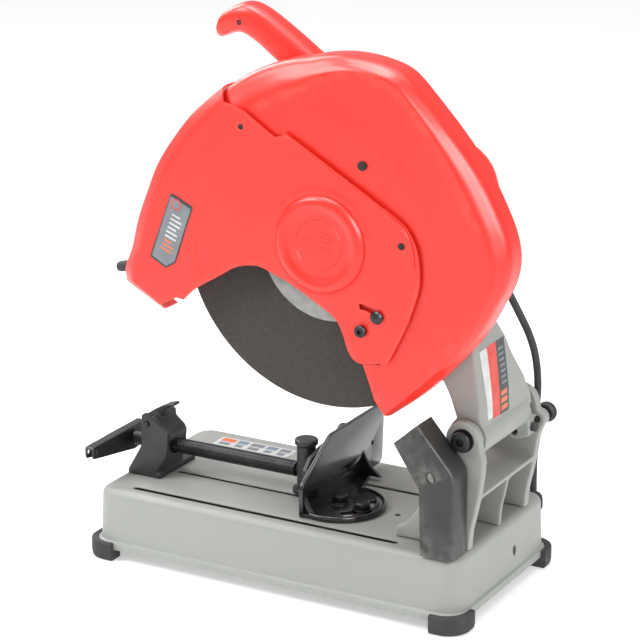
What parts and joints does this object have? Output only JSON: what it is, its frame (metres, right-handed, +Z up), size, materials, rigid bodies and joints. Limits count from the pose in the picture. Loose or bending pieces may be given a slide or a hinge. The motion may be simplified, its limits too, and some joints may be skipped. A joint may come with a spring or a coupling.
{
  "type": "abrasive chop saw",
  "caption": "Bench chop saw: pressed base with rubber feet, hinged motor head with abrasive wheel and telescoping guards, swivelling fence and screw vise",
  "frame": {"origin": "bottom centre of the bounding box, on the floor under the feet, with the head raised", "axes": "+Z up; the operator stands on the -Y side facing +Y; the abrasive wheel is on the +X side and the motor on the -X side; the head hinge is at +Y and runs along X"},
  "size_m": [0.2874, 0.5282, 0.642],
  "materials": {
    "red_plastic": "glossy moulded red plastic and matching paint",
    "grey_paint": "satin warm grey powder coat on steel",
    "grey_cast": "painted light grey die casting",
    "dark_bracket": "dark grey painted sheet steel",
    "black_paint": "glossy black paint",
    "black_cast": "satin black painted casting",
    "rubber": "matt black rubber",
    "steel": "ground and machined steel",
    "black_steel": "blackened steel",
    "zinc": "zinc plated steel",
    "abrasive": "gritty resin bonded abrasive",
    "copper": "varnished copper winding on laminated steel",
    "black_plastic": "fine textured black plastic"
  },
  "bodies": {
    "base_unit": {"base": "grey_paint", "foot_front_right": "rubber", "foot_front_left": "rubber", "foot_rear_right": "rubber", "foot_rear_left": "rubber", "pivot_stand": "grey_cast", "stand_bolt_left": "zinc", "stand_bolt_right": "zinc", "spark_deflector": "dark_bracket", "vise_bracket": "black_cast", "vise_bolt_left": "zinc", "vise_bolt_right": "zinc", "pivot_shaft": "black_steel", "pivot_nut": "zinc", "head_spring": "steel", "fence_pivot_bolt": "zinc", "fence_lock_bolt": "zinc", "half_nut_pin": "zinc"},
    "head": {"arm": "grey_cast", "gear_cover": "grey_cast", "arm_bumper": "rubber", "spindle_bearing_rear": "steel", "spindle_bearing_front": "steel", "motor_housing": "red_plastic", "brush_cap_upper": "black_plastic", "brush_cap_lower": "black_plastic", "field_stack": "steel", "armature_bearing": "steel", "handle_right": "red_plastic", "handle_left": "red_plastic", "switch": "black_plastic", "upper_guard": "red_plastic", "guard_screw": "black_steel", "cord_boot": "rubber", "guard_spring": "steel"},
    "wheel_shaft": {"spindle": "steel", "drive_gear": "steel", "inner_flange": "black_steel", "abrasive_wheel": "abrasive", "outer_flange": "black_steel", "arbor_bolt": "zinc"},
    "rotor": {"armature": "copper", "pinion": "steel", "motor_fan": "black_plastic"},
    "front_guard": {"lower_guard": "red_plastic", "latch_screw": "black_steel", "guard_nose": "rubber"},
    "guard_latch": {"guard_latch": "black_steel"},
    "trigger": {"trigger": "black_plastic"},
    "lock_button": {"lock_button": "black_plastic"},
    "spindle_lock": {"spindle_lock": "black_plastic"},
    "head_lock_pin": {"lock_pin": "black_plastic"},
    "cord": {"power_cord": "rubber", "plug": "rubber"},
    "fence": {"fence": "black_paint"},
    "vise_carrier": {"vise_post": "black_cast"},
    "vise_jaw": {"vise_jaw": "black_cast"},
    "vise_screw": {"vise_screw": "black_steel", "crank": "black_cast"},
    "half_nut": {"half_nut": "black_cast"}
  },
  "joints": [
    {"name": "head_hinge", "type": "hinge", "parent": "base_unit", "child": "head", "pos_m": [0.01295, 0.20336, 0.2075], "axis": [1, 0, 0], "range_deg": [0, 41]},
    {"name": "wheel_spin", "type": "hinge", "parent": "head", "child": "wheel_shaft", "pos_m": [0.10955, 0.04846, 0.4028], "axis": [1, 0, 0], "continuous": true},
    {"name": "rotor_spin", "type": "hinge", "parent": "head", "child": "rotor", "pos_m": [0.01295, 0.09705, 0.42962], "axis": [1, 0, 0], "continuous": true},
    {"name": "front_guard_hinge", "type": "hinge", "parent": "head", "child": "front_guard", "pos_m": [0.13295, 0.05236, 0.413], "axis": [1, 0, 0], "range_deg": [-32.8, 0]},
    {"name": "latch_hinge", "type": "hinge", "parent": "front_guard", "child": "guard_latch", "pos_m": [0.13195, 0.10236, 0.3254], "axis": [1, 0, 0], "range_deg": [0, 44]},
    {"name": "trigger_hinge", "type": "hinge", "parent": "head", "child": "trigger", "pos_m": [0.04295, 0.00286, 0.553], "axis": [1, 0, 0], "range_deg": [-6, 0]},
    {"name": "lock_button_slide", "type": "slide", "parent": "head", "child": "lock_button", "axis": [1, 0, 0], "range_m": [0, 0.003]},
    {"name": "spindle_lock_slide", "type": "slide", "parent": "head", "child": "spindle_lock", "axis": [0, 0, -1], "range_m": [0, 0.0035]},
    {"name": "lock_pin_slide", "type": "slide", "parent": "base_unit", "child": "head_lock_pin", "axis": [1, 0, 0], "range_m": [0, 0.0075]},
    {"name": "cord_hinge", "type": "hinge", "parent": "head", "child": "cord", "pos_m": [-0.07205, 0.15189, 0.37629], "axis": [1, 0, 0], "range_deg": [-18.45, 0]},
    {"name": "fence_hinge", "type": "hinge", "parent": "base_unit", "child": "fence", "pos_m": [0.04695, 0.02986, 0.085], "axis": [0, 0, 1], "range_deg": [-40, 10]},
    {"name": "vise_slide", "type": "slide", "parent": "base_unit", "child": "vise_carrier", "axis": [0, 1, 0], "range_m": [-0.12, 0.002]},
    {"name": "jaw_hinge", "type": "hinge", "parent": "vise_carrier", "child": "vise_jaw", "pos_m": [0.03445, -0.02064, 0.09], "axis": [0, 0, 1], "range_deg": [-40, 10]},
    {"name": "crank_turn", "type": "hinge", "parent": "vise_carrier", "child": "vise_screw", "pos_m": [0.03445, -0.25814, 0.112], "axis": [0, 1, 0], "range_deg": [-7200, 120]},
    {"name": "half_nut_hinge", "type": "hinge", "parent": "base_unit", "child": "half_nut", "pos_m": [0.03295, -0.20914, 0.1475], "axis": [1, 0, 0], "range_deg": [0, 35]}
  ],
  "couplings": [
    {"joint": "rotor_spin", "follows": "wheel_spin", "ratio": -5.1667},
    {"joint": "front_guard_hinge", "follows": "head_hinge", "ratio": -0.8},
    {"joint": "cord_hinge", "follows": "head_hinge", "ratio": -0.45},
    {"joint": "jaw_hinge", "follows": "fence_hinge", "ratio": 1},
    {"joint": "vise_slide", "follows": "crank_turn", "m_per_rad": 0.00095493}
  ]
}
